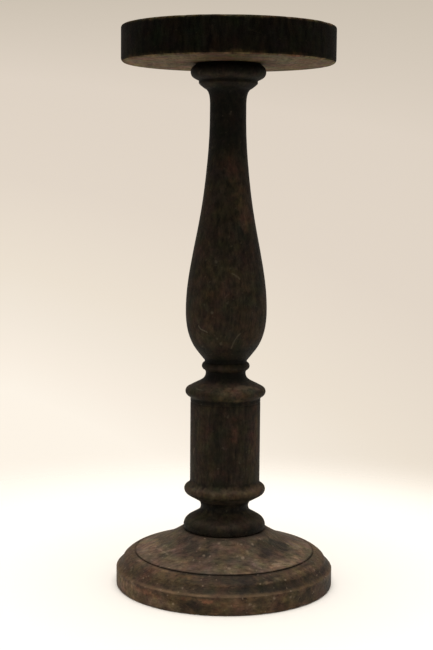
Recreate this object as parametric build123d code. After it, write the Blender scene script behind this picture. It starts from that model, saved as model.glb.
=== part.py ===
from build123d import *
import os

# A tall turned wooden candlestick. It is four turned pieces and two wedges:
#   top_plate    a thick round board that a pillar candle stands on
#   column       one spindle, with a round tenon at each end
#   base_dome    the upper board of the base, a shallow concave sweep
#   base_plinth  the lower board of the base, with the moulded rim
#   plate_wedge, base_wedge  the wedges that spread the two tenons in their mortises
# The grain runs along X in the base's boards, along Y in the plate and along Z in the column.
# Each wedge spreads its tenon along the board's grain, so that it can't split the board.
# Millimetres. +Z is up, along the turning axis. The origin is the centre of the underside.
# Every half section is drawn as (radius, height) pairs and turned about +Z.

# ---------------------------------------------------------------- driving dimensions
HEIGHT = 508.0  # floor to the top of the plate, 20 in
BASE_RADIUS = 100.0
PLINTH_HEIGHT = 31.0  # the base's lower board
BASE_HEIGHT = 51.4  # both boards of the base
PLATE_RADIUS = 96.1
PLATE_THICKNESS = 32.0
COLUMN_RADIUS = 37.9  # the widest turning on the column, out of 3 in stock
DRUM_RADIUS = 32.2  # the plain cylinder low on the column
WAIST_RADIUS = 16.4  # the thinnest place, high on the column
BASE_TENON_RADIUS = 16.0
PLATE_TENON_RADIUS = 12.5
GLUE_LINE = 0.1  # radial gap between a tenon and its mortise

# ---------------------------------------------------------------- plate
PLATE_BOTTOM = HEIGHT - PLATE_THICKNESS
PLATE_LOWER_ROUND = 3.5  # the underside's arris is worn rounder than the top's
PLATE_UPPER_ROUND = 1.6

# ---------------------------------------------------------------- base
RIM_TOP = 16.8  # the plinth's upright rim ends here, in a crisp arris
RIM_LOWER_ROUND = 1.4
RIM_UPPER_ROUND = 0.7
LEDGE_RADIUS = BASE_RADIUS - 1.3  # inner edge of the narrow ledge above the rim
LEDGE_RISE = 0.8
COVE_TOP_RADIUS = BASE_RADIUS - 6.8  # where the cove runs into the round shoulder
COVE_TOP = RIM_TOP + 8.0
COVE_SAG = 0.5
SHOULDER_SAG = 0.8
SHOULDER_DROP = 0.1  # the shoulder ends just below the plinth's top
DOME_RADIUS = 82.2
QUIRK_WIDTH = 1.2  # the fine groove round the dome's edge
QUIRK_DEPTH = 0.9
DOME_EDGE = 0.35  # upright edge of the dome above the plinth
DOME_TOP_RADIUS = 39.2
DOME_SAG = 2.0  # how far the dome's sweep lies below a straight cone
RECESS_RADIUS = 78.0  # the underside is hollowed, so the base stands on its rim
RECESS_DEPTH = 3.0

# ---------------------------------------------------------------- column mouldings
FOOT_ROUND = 8.7  # radius of the foot's round edge
FOOT_BULGE = BASE_HEIGHT + 3.3  # height of its widest place
FOOT_SEAT_DROP = 18  # its round starts this many degrees below its widest place
FOOT_SEAT_RADIUS = 36.4  # where the foot meets the dome
HOLLOW_RADIUS = 22.0  # the deep hollow between the foot and the lower ring
HOLLOW_ROUND = 7.0
HOLLOW_HEIGHT = 72.9
RING_RADIUS = COLUMN_RADIUS - 0.4
RING_ROUND = 5.4  # its underside is fuller than its top
RING_TOP_ROUND = 3.9
RING_HEIGHT = 89.0
MOULDING_SLOPE = 60  # the rounds and hollows run into each other at this angle from level
DRUM_BOTTOM = 97.5  # a small hollow softens the ring's meeting with the drum
SCRIBE_HEIGHT = 170.3  # the fine line cut near the top of the drum
SCRIBE_SIZE = 0.5
DRUM_TOP = 174.2
FLANGE_RADIUS = COLUMN_RADIUS - 1.0
FLANGE_HEIGHT = 180.2
FLANGE_ROUND = 4.2
NECK_FOOT = (24.7, 189.0)  # where the flange's top has turned into the hollow neck
NECK_RADIUS = 18.3
NECK_HEIGHT = 197.6
BEAD_RADIUS = 22.0
BEAD_ROUND = 3.8
BEAD_HEIGHT = 203.5
BEAD_FROM = -75  # the bead's round runs between these angles from level
BEAD_TO = 70
VASE_FOOT_RADIUS = 19.3
VASE_FOOT = 208.6
VASE_HIP = (28.3, 220.0)
VASE_RADIUS = COLUMN_RADIUS - 0.9
VASE_BULGE = 254.5
VASE_SHOULDER = (32.1, 300.0)
VASE_TAPER = (23.4, 347.0)
VASE_STEM = (18.3, 390.0)
WAIST_HEIGHT = 434.0
CAP_FOOT_RADIUS = 19.6
CAP_FOOT = 453.0
FILLET_RADIUS = 26.5  # the flat band under the collar
FILLET_BOTTOM = 458.3
FILLET_TOP = 460.8
COLLAR_RADIUS = 33.9
COLLAR_BULGE = 468.6
COLLAR_SEAT_RADIUS = 28.6  # where the collar meets the plate

# ---------------------------------------------------------------- wedges
WEDGE_LENGTH = 24.0
WEDGE_THICK = 3.6
WEDGE_THIN = 1.2
WEDGE_GAP = 0.05  # on each face of a wedge
KERF_EXTRA = 2.0  # the saw cut runs this far past the wedge's tip

# directions of travel along a half section
UP = (0, 1)
OUT = (1, 0)
IN = (-1, 0)
OUT_AND_UP = (1, 1)
IN_AND_UP = (-1, 1)
SHALLOW = (2, 1)
STEEP = (1, 1.3)


def turned(edges):
    """The solid that a closed half section sweeps out about +Z."""
    return revolve(Plane.XZ * make_face(edges), Axis.Z)


def rounded_corner(corner, before, after, radius):
    """A quarter arc that rounds a square corner; before and after point towards it and away."""
    start = Vector(*corner) - Vector(*before) * radius
    end = Vector(*corner) + Vector(*after) * radius
    return SagittaArc(start, end, radius * (2**-0.5 - 1))


def wedge_section(gap=0.0, extra=0.0):
    """A wedge's taper in the (X, Z) plane, thick end at height 0 and the tip above it."""
    thick = WEDGE_THICK / 2 + gap
    thin = WEDGE_THIN / 2 + gap
    tip = WEDGE_LENGTH + extra
    return make_face(Polyline((-thick, 0), (thick, 0), (thin, tip), (-thin, tip), close=True))


def tapered_slab(width, gap=0.0, extra=0.0):
    """The taper drawn out across the tenon, thick end down at the origin."""
    return extrude(Plane.XZ * wedge_section(gap, extra), width, both=True)


def wedge(tenon_radius):
    """A wedge trimmed to the tenon's round outline."""
    return tapered_slab(tenon_radius * 2) & Cylinder(tenon_radius, WEDGE_LENGTH * 2)


def kerf(tenon_radius):
    """The saw cut that a wedge is driven into, spread to the wedge's taper."""
    return tapered_slab(tenon_radius * 2, WEDGE_GAP, KERF_EXTRA)


def from_below(shape):
    """Places a wedge or kerf in the column's lower tenon, thick end at the tenon's end."""
    return Pos(0, 0, RECESS_DEPTH) * shape


def from_above(shape):
    """Places a wedge or kerf in the column's upper tenon, a quarter turn from the lower one."""
    return Pos(0, 0, HEIGHT) * Rot(X=180) * Rot(Z=90) * shape


def make_top_plate():
    """A round board with softened arrises and a through mortise for the upper tenon."""
    mortise = PLATE_TENON_RADIUS + GLUE_LINE
    lower_corner = (PLATE_RADIUS, PLATE_BOTTOM)
    upper_corner = (PLATE_RADIUS, HEIGHT)
    lower = rounded_corner(lower_corner, OUT, UP, PLATE_LOWER_ROUND)
    upper = rounded_corner(upper_corner, UP, IN, PLATE_UPPER_ROUND)
    return turned(
        [
            Line((mortise, PLATE_BOTTOM), lower @ 0),
            lower,
            Line(lower @ 1, upper @ 0),
            upper,
            Polyline(upper @ 1, (mortise, HEIGHT), (mortise, PLATE_BOTTOM)),
        ]
    )


def make_base_plinth():
    """The base's lower board: recessed underside, upright rim, ledge, cove and shoulder."""
    mortise = BASE_TENON_RADIUS + GLUE_LINE
    lower = rounded_corner((BASE_RADIUS, 0), OUT, UP, RIM_LOWER_ROUND)
    upper = rounded_corner((BASE_RADIUS, RIM_TOP), UP, IN, RIM_UPPER_ROUND)
    cove_foot = (LEDGE_RADIUS, RIM_TOP + LEDGE_RISE)
    cove_top = (COVE_TOP_RADIUS, COVE_TOP)
    shoulder_top = (DOME_RADIUS + QUIRK_WIDTH, PLINTH_HEIGHT - SHOULDER_DROP)
    quirk_bottom = (DOME_RADIUS, PLINTH_HEIGHT - QUIRK_DEPTH)
    return turned(
        [
            Polyline(
                (mortise, RECESS_DEPTH), (RECESS_RADIUS, RECESS_DEPTH), (RECESS_RADIUS, 0), lower @ 0
            ),
            lower,
            Line(lower @ 1, upper @ 0),
            upper,
            Line(upper @ 1, cove_foot),
            SagittaArc(cove_foot, cove_top, COVE_SAG),
            SagittaArc(cove_top, shoulder_top, -SHOULDER_SAG),
            Polyline(
                shoulder_top,
                quirk_bottom,
                (DOME_RADIUS, PLINTH_HEIGHT),
                (mortise, PLINTH_HEIGHT),
                (mortise, RECESS_DEPTH),
            ),
        ]
    )


def make_base_dome():
    """The base's upper board: a shallow concave sweep up to a small flat under the column."""
    mortise = BASE_TENON_RADIUS + GLUE_LINE
    edge = (DOME_RADIUS, PLINTH_HEIGHT + DOME_EDGE)
    top = (DOME_TOP_RADIUS, BASE_HEIGHT)
    return turned(
        [
            Polyline((mortise, PLINTH_HEIGHT), (DOME_RADIUS, PLINTH_HEIGHT), edge),
            SagittaArc(edge, top, DOME_SAG),
            Polyline(top, (mortise, BASE_HEIGHT), (mortise, PLINTH_HEIGHT)),
        ]
    )


def foot_and_ring():
    """The pear-shaped foot, the deep hollow and the ring below the drum."""
    slope = MOULDING_SLOPE
    foot_centre = (COLUMN_RADIUS - FOOT_ROUND, FOOT_BULGE)
    hollow_centre = (HOLLOW_RADIUS + HOLLOW_ROUND, HOLLOW_HEIGHT)
    ring_centre = (RING_RADIUS - RING_ROUND, RING_HEIGHT)
    ring_top_centre = (RING_RADIUS - RING_TOP_ROUND, RING_HEIGHT)
    foot = CenterArc(foot_centre, FOOT_ROUND, -FOOT_SEAT_DROP, FOOT_SEAT_DROP + slope)
    hollow = CenterArc(hollow_centre, HOLLOW_ROUND, 180 + slope, -2 * slope)
    underside = CenterArc(ring_centre, RING_ROUND, -slope, slope)
    top = CenterArc(ring_top_centre, RING_TOP_ROUND, 0, slope)
    drum_foot = (DRUM_RADIUS, DRUM_BOTTOM)
    return [
        Line((FOOT_SEAT_RADIUS, BASE_HEIGHT), foot @ 0),
        foot,
        Line(foot @ 1, hollow @ 0),
        hollow,
        Line(hollow @ 1, underside @ 0),
        underside,
        top,
        Spline(top @ 1, drum_foot, tangents=[top % 1, UP]),
    ]


def drum():
    """The plain cylinder, with a fine line cut near its top."""
    return Polyline(
        (DRUM_RADIUS, DRUM_BOTTOM),
        (DRUM_RADIUS, SCRIBE_HEIGHT - SCRIBE_SIZE),
        (DRUM_RADIUS - SCRIBE_SIZE, SCRIBE_HEIGHT),
        (DRUM_RADIUS, SCRIBE_HEIGHT + SCRIBE_SIZE),
        (DRUM_RADIUS, DRUM_TOP),
    )


def flange_and_bead():
    """The round-edged flange, the hollow neck above it and the small bead."""
    underside = (DRUM_RADIUS, DRUM_TOP)
    edge = (FLANGE_RADIUS, FLANGE_HEIGHT)
    top = CenterArc((FLANGE_RADIUS - FLANGE_ROUND, FLANGE_HEIGHT), FLANGE_ROUND, 0, MOULDING_SLOPE)
    neck = (NECK_RADIUS, NECK_HEIGHT)
    centre = BEAD_RADIUS - BEAD_ROUND
    bead = CenterArc((centre, BEAD_HEIGHT), BEAD_ROUND, BEAD_FROM, BEAD_TO - BEAD_FROM)
    return [
        Spline(underside, edge, tangents=[OUT_AND_UP, UP]),
        top,
        Spline(top @ 1, NECK_FOOT, neck, tangents=[top % 1, UP]),
        Line(neck, bead @ 0),
        bead,
        Line(bead @ 1, (VASE_FOOT_RADIUS, VASE_FOOT)),
    ]


def vase():
    """The long baluster: full and low at the bulge, drawn in to the waist."""
    foot = (VASE_FOOT_RADIUS, VASE_FOOT)
    bulge = (VASE_RADIUS, VASE_BULGE)
    waist = (WAIST_RADIUS, WAIST_HEIGHT)
    return [
        Spline(foot, VASE_HIP, bulge, tangents=[STEEP, UP]),
        Spline(bulge, VASE_SHOULDER, VASE_TAPER, VASE_STEM, waist, tangents=[UP, UP]),
    ]


def collar():
    """The flare, the flat fillet and the half-round collar that seats under the plate."""
    waist = (WAIST_RADIUS, WAIST_HEIGHT)
    cap_foot = (CAP_FOOT_RADIUS, CAP_FOOT)
    fillet_bottom = (FILLET_RADIUS, FILLET_BOTTOM)
    fillet_top = (FILLET_RADIUS, FILLET_TOP)
    bulge = (COLLAR_RADIUS, COLLAR_BULGE)
    seat = (COLLAR_SEAT_RADIUS, PLATE_BOTTOM)
    return [
        Spline(waist, cap_foot, tangents=[UP, OUT_AND_UP]),
        Spline(cap_foot, fillet_bottom, tangents=[SHALLOW, OUT_AND_UP]),
        Line(fillet_bottom, fillet_top),
        Spline(fillet_top, bulge, tangents=[SHALLOW, UP]),
        Spline(bulge, seat, tangents=[UP, IN_AND_UP]),
    ]


def make_column():
    """The spindle with its two tenons, each sawn for a wedge."""
    lower_tenon = Polyline(
        (0, RECESS_DEPTH),
        (BASE_TENON_RADIUS, RECESS_DEPTH),
        (BASE_TENON_RADIUS, BASE_HEIGHT),
        (FOOT_SEAT_RADIUS, BASE_HEIGHT),
    )
    upper_tenon = Polyline(
        (COLLAR_SEAT_RADIUS, PLATE_BOTTOM),
        (PLATE_TENON_RADIUS, PLATE_BOTTOM),
        (PLATE_TENON_RADIUS, HEIGHT),
        (0, HEIGHT),
    )
    heart = Line((0, HEIGHT), (0, RECESS_DEPTH))
    mouldings = [*foot_and_ring(), drum(), *flange_and_bead(), *vase(), *collar()]
    spindle = turned([lower_tenon, *mouldings, upper_tenon, heart])
    spindle -= from_below(kerf(BASE_TENON_RADIUS))
    return spindle - from_above(kerf(PLATE_TENON_RADIUS))


NODES = {
    "top_plate": make_top_plate(),
    "column": make_column(),
    "base_dome": make_base_dome(),
    "base_plinth": make_base_plinth(),
    "plate_wedge": from_above(wedge(PLATE_TENON_RADIUS)),
    "base_wedge": from_below(wedge(BASE_TENON_RADIUS)),
}

os.makedirs("parts", exist_ok=True)
for name, shape in NODES.items():
    export_step(shape, f"parts/{name}.step")
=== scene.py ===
import itertools
import math

import bmesh
import bpy
import numpy as np
from mathutils import Matrix, Vector
from numpy.linalg import norm


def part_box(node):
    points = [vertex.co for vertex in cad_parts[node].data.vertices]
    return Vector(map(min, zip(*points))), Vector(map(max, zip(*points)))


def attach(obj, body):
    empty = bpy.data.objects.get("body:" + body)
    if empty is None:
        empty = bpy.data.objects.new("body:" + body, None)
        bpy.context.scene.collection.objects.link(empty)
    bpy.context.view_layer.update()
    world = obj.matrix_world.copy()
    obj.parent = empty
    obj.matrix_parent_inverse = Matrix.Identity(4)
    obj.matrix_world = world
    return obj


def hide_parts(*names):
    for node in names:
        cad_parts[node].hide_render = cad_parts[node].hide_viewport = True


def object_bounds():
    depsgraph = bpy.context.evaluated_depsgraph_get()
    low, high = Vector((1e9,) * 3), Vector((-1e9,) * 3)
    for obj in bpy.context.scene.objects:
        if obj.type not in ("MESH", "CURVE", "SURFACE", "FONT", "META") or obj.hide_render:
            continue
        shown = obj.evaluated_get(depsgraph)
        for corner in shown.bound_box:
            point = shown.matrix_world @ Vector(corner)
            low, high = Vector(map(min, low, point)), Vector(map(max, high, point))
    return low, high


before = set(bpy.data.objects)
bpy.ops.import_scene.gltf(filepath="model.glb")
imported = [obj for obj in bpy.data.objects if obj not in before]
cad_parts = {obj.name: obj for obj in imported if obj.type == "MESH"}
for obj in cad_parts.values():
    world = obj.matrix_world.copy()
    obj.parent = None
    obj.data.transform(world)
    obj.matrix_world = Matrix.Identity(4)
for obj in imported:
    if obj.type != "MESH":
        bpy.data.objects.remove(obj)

# Metres, in the CAD frame: +Z up the turning axis, -Y towards the viewer, +X to the right.
# A place round the turning axis is an azimuth in degrees: 0 faces the viewer, 90 faces +X.
MM = 0.001

# ---- sizes read from the frame
BOX_LOW, BOX_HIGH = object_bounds()
HEIGHT = BOX_HIGH.z
BASE_RADIUS = BOX_HIGH.x
PLATE_LOW, PLATE_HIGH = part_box("top_plate")
DOME_LOW, DOME_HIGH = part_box("base_dome")
COLUMN_LOW, COLUMN_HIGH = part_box("column")
DOME_RADIUS = DOME_HIGH.x
COLUMN_RADIUS = COLUMN_HIGH.x

# ---- heights that marks follow
ARRIS_HEIGHT = DOME_LOW.z - 13.7 * MM  # the crisp edge on top of the plinth's upright rim
COVE_HEIGHT = DOME_LOW.z - 9.8 * MM
HOLLOW_HEIGHT = DOME_HIGH.z + 25.3 * MM  # between the column's foot and its lower ring
RING_FOOT_HEIGHT = DOME_HIGH.z + 32.6 * MM
BEAD_HEIGHT = DOME_HIGH.z + 152.6 * MM
VASE_FOOT_HEIGHT = DOME_HIGH.z + 162.6 * MM
NECK_TOP_HEIGHT = PLATE_LOW.z - 46 * MM
FILLET_HEIGHT = PLATE_LOW.z - 15.6 * MM
COLLAR_TOP_HEIGHT = PLATE_LOW.z - 4 * MM

# ---- how fine the meshes are
WELD = 1e-6
FINE_STEP = 0.15 * MM  # the outline is worked out this finely before it is thinned
LONG_SEGMENT = 3 * MM  # a longer stretch of an outline is a straight line
CORNER = math.radians(28)  # a sharper turn than this is a real corner
EASED = 0.28 * MM  # how far the corners are rubbed soft
SHOWN_SPACING = 0.85 * MM
HIDDEN_SPACING = 4 * MM
CURVE_SPACING = 0.16  # radians of turn per row of faces
COLUMN_SEGMENTS = 320
BOARD_SEGMENTS = 480
PLINTH_SEGMENTS = 560
MORTISE_COVER = 20 * MM  # boards are meshed coarsely nearer the axis than this
FOOT_COVER = 35 * MM  # the column's foot covers the dome this far from the axis
PLINTH_UNDER_HEIGHT = 4 * MM  # lower than this, the plinth shows only at its edge
PLINTH_UNDER_RADIUS = BASE_RADIUS - 3 * MM
SHOWN_LIP = 0.1 * MM  # this near the joint between the two boards nothing shows
GLUED_MARGIN = 1 * MM  # but for this strip at the dome's edge
EDGE_REACH = 1 * MM  # how near an edge counts as at the edge
BROAD_EDGE_REACH = 3 * MM
ON_OUTLINE = 0.6 * MM  # an outline point this near a radius or height is at it
KERF_GAP = 0.15 * MM  # the saw slots are this much wider than the wedges

# ---- wear that is the same all over
HASH_PRIMES = np.array([73856093, 19349663, 83492791])
HASH_SEED = 2654435
HASH_MIXERS = (1274126177, 2246822519)
HASH_MASK = 0x7FFFFFFF
BLOB_CORE, BLOB_END = 0.45, 1.15  # where a patch starts to fade and where it ends, in sizes
STROKE_CORE = 0.35  # the part of a line's width that is at full strength
DENT_REACH = (1.2, 3.5)  # mm, smallest and largest
DENT_DEPTH = (0.08, 0.3)  # mm
DENT_PALE = 0.08
SCRATCH_ROWS = 10
SCRATCH_COLUMNS = 14
FINE_SCRATCH = 0.55 * MM
SHORT_SCRATCH = 1 * MM
DRAWN_SCRATCH = 0.7 * MM
SCRATCH_DEPTH = 0.08 * MM
RIDGE_SIZES = (1.9 * MM, 5 * MM)
RIDGE_DEPTH = 0.05 * MM
PATCH_SIZE = 22 * MM
FINE_PATCH_SIZE = 5 * MM
SPECK_PALE = 0.5
# Of these marks, the last paints highlights in the colour of bare wood, and dark holds both dark finish
# and painted shade.
MARKS = ("pale", "dark", "red", "raw", "light_tone")

# ---- marks drawn one by one
# A patch in the bare-wood colour is a painted highlight.
# Sizes are in mm. The column and the rim are placed by height, the dome and the shoulder by radius.
# A patch is (mark, azimuth, height or radius, size across, size along, strength).
# A speck is (azimuth, height or radius, size, strength).
# A scratch is (strength, the places it runs through as (azimuth, height or radius)).
COLUMN_PATCHES = [
    ("red", 16, 183.5, 17, 5, 1), ("dust", 20, 184.5, 18, 5, 1), ("red", 40, 345, 7, 22, 0.6),
    ("red", 14, 386, 6, 22, 0.4), ("dark", 0, 140, 20, 40, 0.4), ("red", 14, 148, 5, 13, 0.6),
    ("red", 62, 140, 8, 30, 0.4), ("red", -15, 113, 9, 9, 0.35),
    *(("dust", azimuth, 94, 20, 5, 1) for azimuth in (-20, 20, -60, 62, 105)),
    ("dust", 180, 94, 40, 5, 0.8), ("dust", -20, 463, 22, 2.2, 1), ("dust", 25, 463, 20, 2.2, 1),
    ("dust", -45, 455.5, 9, 2.5, 1), ("dust", 40, 455.5, 9, 2.5, 1), ("dust", 0, 455, 9, 2.5, 0.5),
    *(("dust", azimuth, 67.5, 24, 6, 1) for azimuth in (-35, 12, 58)),
    ("dust", 38, 184, 14, 5, 1), ("dust", 8, 183, 14, 5, 0.9), ("dust", 20, 185, 24, 4, 0.6),
    ("dust", -48, 160, 8, 12, 0.5), ("light_tone", 30, 187.6, 18, 3.6, 0.22),
    ("pale", -25, 64.5, 30, 8, 0.05), ("pale", 25, 64.5, 30, 8, 0.05), ("dark", 5, 180.5, 26, 4, 0.45),
    ("light_tone", 10, 93.5, 26, 3.4, 0.06), ("light_tone", 55, 93.5, 22, 3.4, 0.07),
    ("light_tone", -35, 93.5, 22, 3.4, 0.06), ("dust", -40, 235, 16, 18, 0.4), ("dust", 35, 279, 9, 6, 0.5),
    ("dust", 39, 252, 6, 6, 0.4), ("dust", -17, 301, 5, 6, 0.6), ("dust", 14, 310, 4, 5, 0.45),
    ("dark", -5, 195, 30, 6, 0.8), ("dark", 0, 73, 40, 5, 0.8), ("dark", -10, 443, 22, 40, 0.5),
    ("red", -12, 89.5, 24, 4, 0.35), ("red", 26, 90, 24, 4, 0.35), ("red", -60, 90, 20, 5, 0.25),
    ("red", 200, 300, 14, 40, 0.5), ("red", 130, 150, 10, 25, 0.5), ("red", 250, 180, 16, 8, 0.5),
    ("dust", 160, 240, 18, 16, 0.4),
]
COLUMN_SCRATCHES = [
    (0.75, [(-43, 242.5), (-39, 239.5), (-34, 238.5), (-28, 237.5)]),
    (0.35, [(9, 222.5), (10.5, 226), (13, 230), (16.5, 233.5), (21, 236.5)]),
    (0.6, [(-60, 130), (-63, 126.5), (-65, 123)]), (0.45, [(8, 291), (14, 289), (20, 286)]),
    (0.4, [(-59, 186), (-48, 185), (-38, 185)]), (0.5, [(170, 262), (176, 255), (178, 246)]),
    (0.5, [(222, 150), (224, 138)]),
]
COLUMN_SPECKS = [
    (-20, 255.5, 1.6, 0.9), (-8, 227.5, 1.8, 0.6), (-17, 301, 1.6, 0.6), (14, 288.5, 1.3, 0.5),
    (-32, 262, 1.2, 0.4), (150, 270, 1.5, 0.6), (-130, 120, 1.5, 0.5),
]
DOME_PATCHES = [
    ("dust", -83, 70, 24, 12, 1), ("dust", -100, 74, 20, 9, 1), ("light_tone", -72, 73, 26, 12, 0.12),
    ("dust", -62, 62, 16, 7, 0.8), ("dust", -38, 69, 16, 5, 0.6), ("dust", -26, 75, 14, 3, 0.6),
    ("dust", -6, 47, 8, 5, 0.4), ("dust", 20, 55, 7, 7, 0.7), ("dust", 2, 72, 16, 5, 0.5),
    ("dust", 26, 70, 10, 6, 0.8), ("dust", 40, 74, 14, 6, 1), ("dust", 62, 77, 16, 6, 1),
    ("dust", 84, 68, 20, 10, 0.9), ("dust", 97, 76, 14, 6, 0.8), ("dust", 170, 62, 24, 9, 0.7),
    ("dust", 230, 70, 20, 7, 0.6), ("dark", 45, 49, 11, 7, 0.9), ("dark", 41, 58, 11, 7, 1),
    ("dark", 66, 59, 10, 7, 1), ("dark", 55, 54, 18, 11, 0.9), ("dark", -48, 46, 12, 6, 0.9),
    ("dark", -36, 54, 9, 8, 0.8), ("dark", -24, 57, 10, 7, 0.9), ("dark", -13, 52, 8, 6, 0.6),
    ("dark", 5, 62, 14, 4, 0.4), ("dark", -110, 48, 14, 6, 0.6), ("dark", 140, 50, 18, 9, 0.8),
    ("dark", 205, 56, 12, 10, 0.7), ("red", 21, 48, 10, 5, 0.5), ("red", -4, 60, 9, 5, 0.35),
]
DOME_SPECKS = [
    (-26, 50.5, 1.3, 0.7), (-18, 58.5, 1.6, 0.8), (-6, 44.5, 1.3, 0.7), (20, 45.5, 1.3, 0.7),
    (33, 47, 1.5, 0.9), (23, 53, 1.5, 0.6), (16, 60.5, 2.0, 1), (12, 58, 1.2, 0.7),
    (4, 73.5, 1.8, 0.8), (1, 76, 1.2, 0.5), (120, 60, 1.6, 0.8), (190, 70, 1.6, 0.7),
    (260, 52, 1.5, 0.7),
]
DOME_SCRATCHES = [
    (0.6, [(36, 73), (44, 75), (52, 79)]), (0.5, [(38, 77), (45, 78.5), (50, 80.5)]),
    (0.35, [(-70, 66), (-60, 65), (-50, 65.5)]), (0.4, [(150, 70), (165, 68), (176, 71)]),
]
RIM_PATCHES = [
    ("red", -51, 12, 9, 3, 1), ("red", -43, 12.5, 8, 2.4, 0.9), ("red", -36, 10.5, 7, 3, 0.8),
    ("red", -9, 12.8, 8, 2.4, 0.9), ("red", -20, 14, 8, 2, 0.6), ("red", 2, 10, 7, 4, 0.4),
    ("dust", -58, 8, 28, 9, 0.95), ("dust", -34, 6, 18, 5, 0.7), ("dust", 4, 7, 16, 5, 0.35),
    ("dark", -15, 9, 8, 6, 1), ("dark", -20, 4, 9, 4, 0.6), ("dark", 6, 2, 13, 3, 0.7),
    ("dark", 30, 4, 12, 5, 0.8), ("dark", 48, 10, 14, 7, 0.8), ("dark", 72, 9, 20, 9, 1),
    ("dark", 58, 8, 20, 8, 0.35), ("dark", 88, 9, 16, 9, 0.5), ("dark", 18, 12, 9, 4, 0.5),
    ("red", 110, 8, 9, 4, 0.6), ("dark", 150, 9, 14, 7, 0.8), ("red", 200, 10, 8, 4, 0.7),
    ("dark", 245, 8, 14, 6, 0.8),
]
SHOULDER_PATCHES = [
    ("dark", 12, 90, 26, 8, 1), ("dark", -4, 88, 16, 4, 0.8), ("dark", 26, 91, 14, 5, 0.9),
    ("dark", -14, 91, 20, 4, 0.7), ("dark", 26, 86, 20, 3, 0.6), ("dark", 62, 86, 20, 4, 0.7),
    ("dark", -48, 93, 22, 3, 0.7), ("dark", -70, 88, 14, 3, 0.5), ("dust", 33, 92, 9, 2.4, 1),
    ("dust", 46, 90, 8, 2, 0.9), ("dust", 24, 93, 6, 1.6, 0.8), ("dust", 60, 90, 10, 2, 0.7),
    ("dust", -66, 86, 16, 3, 0.8), ("dust", -38, 86, 14, 2.4, 0.6), ("red", -16, 88, 14, 3, 0.5),
    ("dark", 170, 90, 26, 5, 0.8), ("dust", 215, 88, 20, 4, 0.7),
]
RIM_SPECKS = [
    (13, 10, 1.3, 0.7), (15, 9, 1.1, 0.5), (26, 14.2, 1.4, 0.8), (36, 11.8, 1.4, 0.9),
    (38, 11, 1.0, 0.6), (95, 9, 1.4, 0.8), (-100, 7, 1.2, 0.7),
]
SHOULDER_SPECKS = [(-22, 95.8, 1.3, 0.8), (-63, 93.5, 1.4, 0.5), (170, 94, 1.3, 0.7)]

# Dark finish and painted shade round the column: (height, reach, strength).
# Under the plate the bands are the plate's painted shadow over dark finish; at the foot, painted shade
# over the dark joint;
# in the hollow and at the ring's foot and the fillet, painted shade in the creases; at the vase's foot
# and the bead, darker wood.
BAND_LUMPS = (9 * MM, 9 * MM, 22 * MM)
DARK_AND_SHADE_BANDS = [
    (NECK_TOP_HEIGHT, 46 * MM, 0.95), (DOME_HIGH.z, 10 * MM, 0.9), (HOLLOW_HEIGHT, 4.4 * MM, 0.95),
    (RING_FOOT_HEIGHT, 4.2 * MM, 0.75), (VASE_FOOT_HEIGHT, 13 * MM, 0.75), (BEAD_HEIGHT, 4 * MM, 0.4),
    (COLLAR_TOP_HEIGHT, 7.5 * MM, 0.95), (FILLET_HEIGHT, 1.2 * MM, 0.9),
]

# ---- colours
# Colours go from deep stain to what lies on it. Strengths say how much of each shows.
# The grime colour paints grime and painted shade, the dark colour dark finish and painted shade, and the
# bare-wood colour painted highlights.
COLUMN_COLOURS = {
    "deep": (0.0088, 0.0072, 0.0042), "mid": (0.025, 0.018, 0.011), "warm": (0.034, 0.0225, 0.0122),
    "pore": (0.004, 0.0033, 0.0024), "red": (0.07, 0.0375, 0.0215), "raw": (0.14, 0.1, 0.065),
    "raw_deep": (0.08, 0.055, 0.035), "dark": (0.0034, 0.0036, 0.0023), "worn": (0.048, 0.034, 0.02),
    "dust": (0.07, 0.053, 0.035), "grime_and_shade": (0.003, 0.0026, 0.0018), "light_tone": (0.2, 0.14, 0.09),
    "pale": (0.1, 0.085, 0.06),
}
PLATE_COLOURS = COLUMN_COLOURS | {
    "deep": (0.0025, 0.0024, 0.0014), "mid": (0.006, 0.0056, 0.0034), "warm": (0.0085, 0.006, 0.0036),
    "raw": (0.168, 0.12, 0.07), "raw_deep": (0.108, 0.075, 0.041), "worn": (0.07, 0.05, 0.022),
    "dust": (0.02, 0.016, 0.009), "grime_and_shade": (0.022, 0.016, 0.009), "pale": (0.05, 0.04, 0.025),
}
DOME_COLOURS = COLUMN_COLOURS | {
    "deep": (0.033, 0.024, 0.0158), "mid": (0.057, 0.0395, 0.026), "warm": (0.072, 0.048, 0.0305),
    "red": (0.085, 0.046, 0.028), "dark": (0.0118, 0.0104, 0.0076), "worn": (0.11, 0.078, 0.051),
    "dust": (0.19, 0.132, 0.084), "grime_and_shade": (0.009, 0.0065, 0.0045), "pale": (0.28, 0.21, 0.15),
}
PLINTH_COLOURS = DOME_COLOURS | {
    "deep": (0.034, 0.022, 0.0125), "mid": (0.064, 0.041, 0.0228), "warm": (0.094, 0.056, 0.03),
    "red": (0.135, 0.064, 0.035), "dark": (0.0108, 0.009, 0.0062), "dust": (0.175, 0.118, 0.07),
    "light_tone": (0.22, 0.14, 0.08),
}
WEDGE_COLOURS = COLUMN_COLOURS | {
    "deep": (0.035, 0.024, 0.014), "mid": (0.07, 0.048, 0.028), "warm": (0.09, 0.06, 0.034),
    "pore": (0.014, 0.01, 0.006),
}
COLUMN_STRENGTHS = {
    "cloud": 0.6, "ring": 0.3, "drift": 0.45, "mottle": 0.8, "wear": 0.35, "dust": 0.45, "grime_and_shade": 0.85,
    "speckle": 0.2, "gloss": 0.07,
}
PLATE_STRENGTHS = COLUMN_STRENGTHS | {
    "drift": 0.6, "mottle": 1.0, "wear": 0.9, "dust": 0.5, "speckle": 0.1, "gloss": 0.02,
}
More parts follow.
